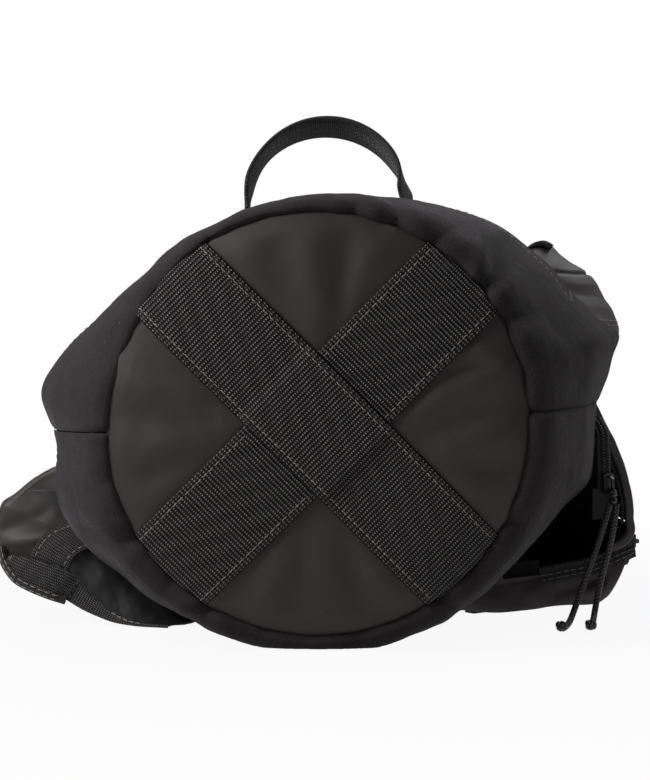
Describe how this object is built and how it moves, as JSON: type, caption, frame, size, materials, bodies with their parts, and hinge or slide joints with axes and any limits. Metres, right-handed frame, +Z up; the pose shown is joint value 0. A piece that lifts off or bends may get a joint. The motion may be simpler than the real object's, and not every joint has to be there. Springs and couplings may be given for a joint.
{
  "type": "round base soft rucksack",
  "caption": "Soft black nylon rucksack lying on its back: round base crossed by two wide webbings, canvas lower band, grab handle, back compartment with open coil zip, pull cords.",
  "frame": {"origin": "centre of the footprint, on the surface the bag lies on", "axes": "+X to the right seen from the round base, +Y from the base to the zipped mouth, +Z up"},
  "size_m": [0.3562, 0.42, 0.2917],
  "materials": {
    "bag_nylon": "tight twill nylon, warm near-black",
    "band_canvas": "brushed heavy canvas, matt blue-black",
    "wide_webbing": "ribbed nylon webbing",
    "narrow_webbing": "ribbed nylon webbing",
    "binding_tape": "grosgrain binding",
    "lining_cloth": "plain nylon lining",
    "foam": "closed cell foam",
    "base_board": "polyethylene sheet",
    "strap_mesh": "spacer mesh and nylon",
    "zip_coil": "nylon coil",
    "zip_tape": "woven zip tape",
    "slider_metal": "black enamelled zinc",
    "adjuster_plastic": "moulded acetal",
    "label_cloth": "bare woven label",
    "braided_cord": "braided polyester cord"
  },
  "bodies": {
    "bag": {"back_foam": "foam", "band_seam_binding": "binding_tape", "base_board": "base_board", "base_foam": "foam", "base_panel": "bag_nylon", "base_seam_binding": "binding_tape", "body_under_panel": "bag_nylon", "body_upper_panel": "bag_nylon", "compartment_flap": "bag_nylon", "compartment_shell": "bag_nylon", "compartment_zip_chain": "zip_coil", "compartment_zip_tape": "zip_tape", "corner_tab_left": "narrow_webbing", "cross_strap_over": "wide_webbing", "cross_strap_under": "wide_webbing", "end_panel": "bag_nylon", "end_zip_chain": "zip_coil", "end_zip_tape": "zip_tape", "flap_binding": "binding_tape", "flap_zip_half": "zip_tape", "handle_patches": "narrow_webbing", "inner_label": "label_cloth", "ladder_lock_left": "adjuster_plastic", "ladder_lock_right": "adjuster_plastic", "lip_zip_half": "zip_tape", "lower_band_top": "band_canvas", "lower_band_under": "band_canvas", "main_lining": "lining_cloth", "outer_label": "label_cloth", "shoulder_strap_left": "strap_mesh", "shoulder_strap_right": "strap_mesh", "side_loop_left": "narrow_webbing", "side_pocket_binding": "binding_tape", "side_pocket_panel": "bag_nylon", "side_zip_chain": "zip_coil", "side_zip_tape": "zip_tape", "strap_webbing_left": "narrow_webbing", "strap_webbing_right": "narrow_webbing", "zip_end_tab": "bag_nylon"},
    "handle": {"grab_handle": "narrow_webbing"},
    "end_slider": {"end_zip_slider": "slider_metal"},
    "end_pull": {"end_zip_puller": "slider_metal"},
    "pocket_slider": {"compartment_zip_slider": "slider_metal"},
    "pocket_pull": {"compartment_zip_puller": "slider_metal"},
    "side_slider": {"side_zip_slider": "slider_metal", "cord_hitch": "braided_cord", "pull_cord_left": "braided_cord", "pull_cord_right": "braided_cord", "cord_knot_left": "braided_cord", "cord_knot_right": "braided_cord"}
  },
  "joints": [
    {"name": "handle_swing", "type": "hinge", "parent": "bag", "child": "handle", "pos_m": [0.005, 0.0038, 0.23724], "axis": [1, 0, 0], "range_deg": [-48, 72]},
    {"name": "mouth_zip", "type": "slide", "parent": "bag", "child": "end_slider", "axis": [-1, 0, 0], "range_m": [0, 0.25]},
    {"name": "mouth_puller", "type": "hinge", "parent": "end_slider", "child": "end_pull", "pos_m": [0.126, 0.208, 0.08], "axis": [0, 0, -1], "range_deg": [0, 170]},
    {"name": "compartment_zip", "type": "slide", "parent": "bag", "child": "pocket_slider", "axis": [0, 1, 0], "range_m": [0, 0.1]},
    {"name": "compartment_puller", "type": "hinge", "parent": "pocket_slider", "child": "pocket_pull", "pos_m": [0.176, -0.0869, 0.0435], "axis": [0, 0, -1], "range_deg": [0, 170]},
    {"name": "side_zip", "type": "slide", "parent": "bag", "child": "side_slider", "axis": [-0.0319, 0, 0.9995], "range_m": [0, 0.03]}
  ]
}
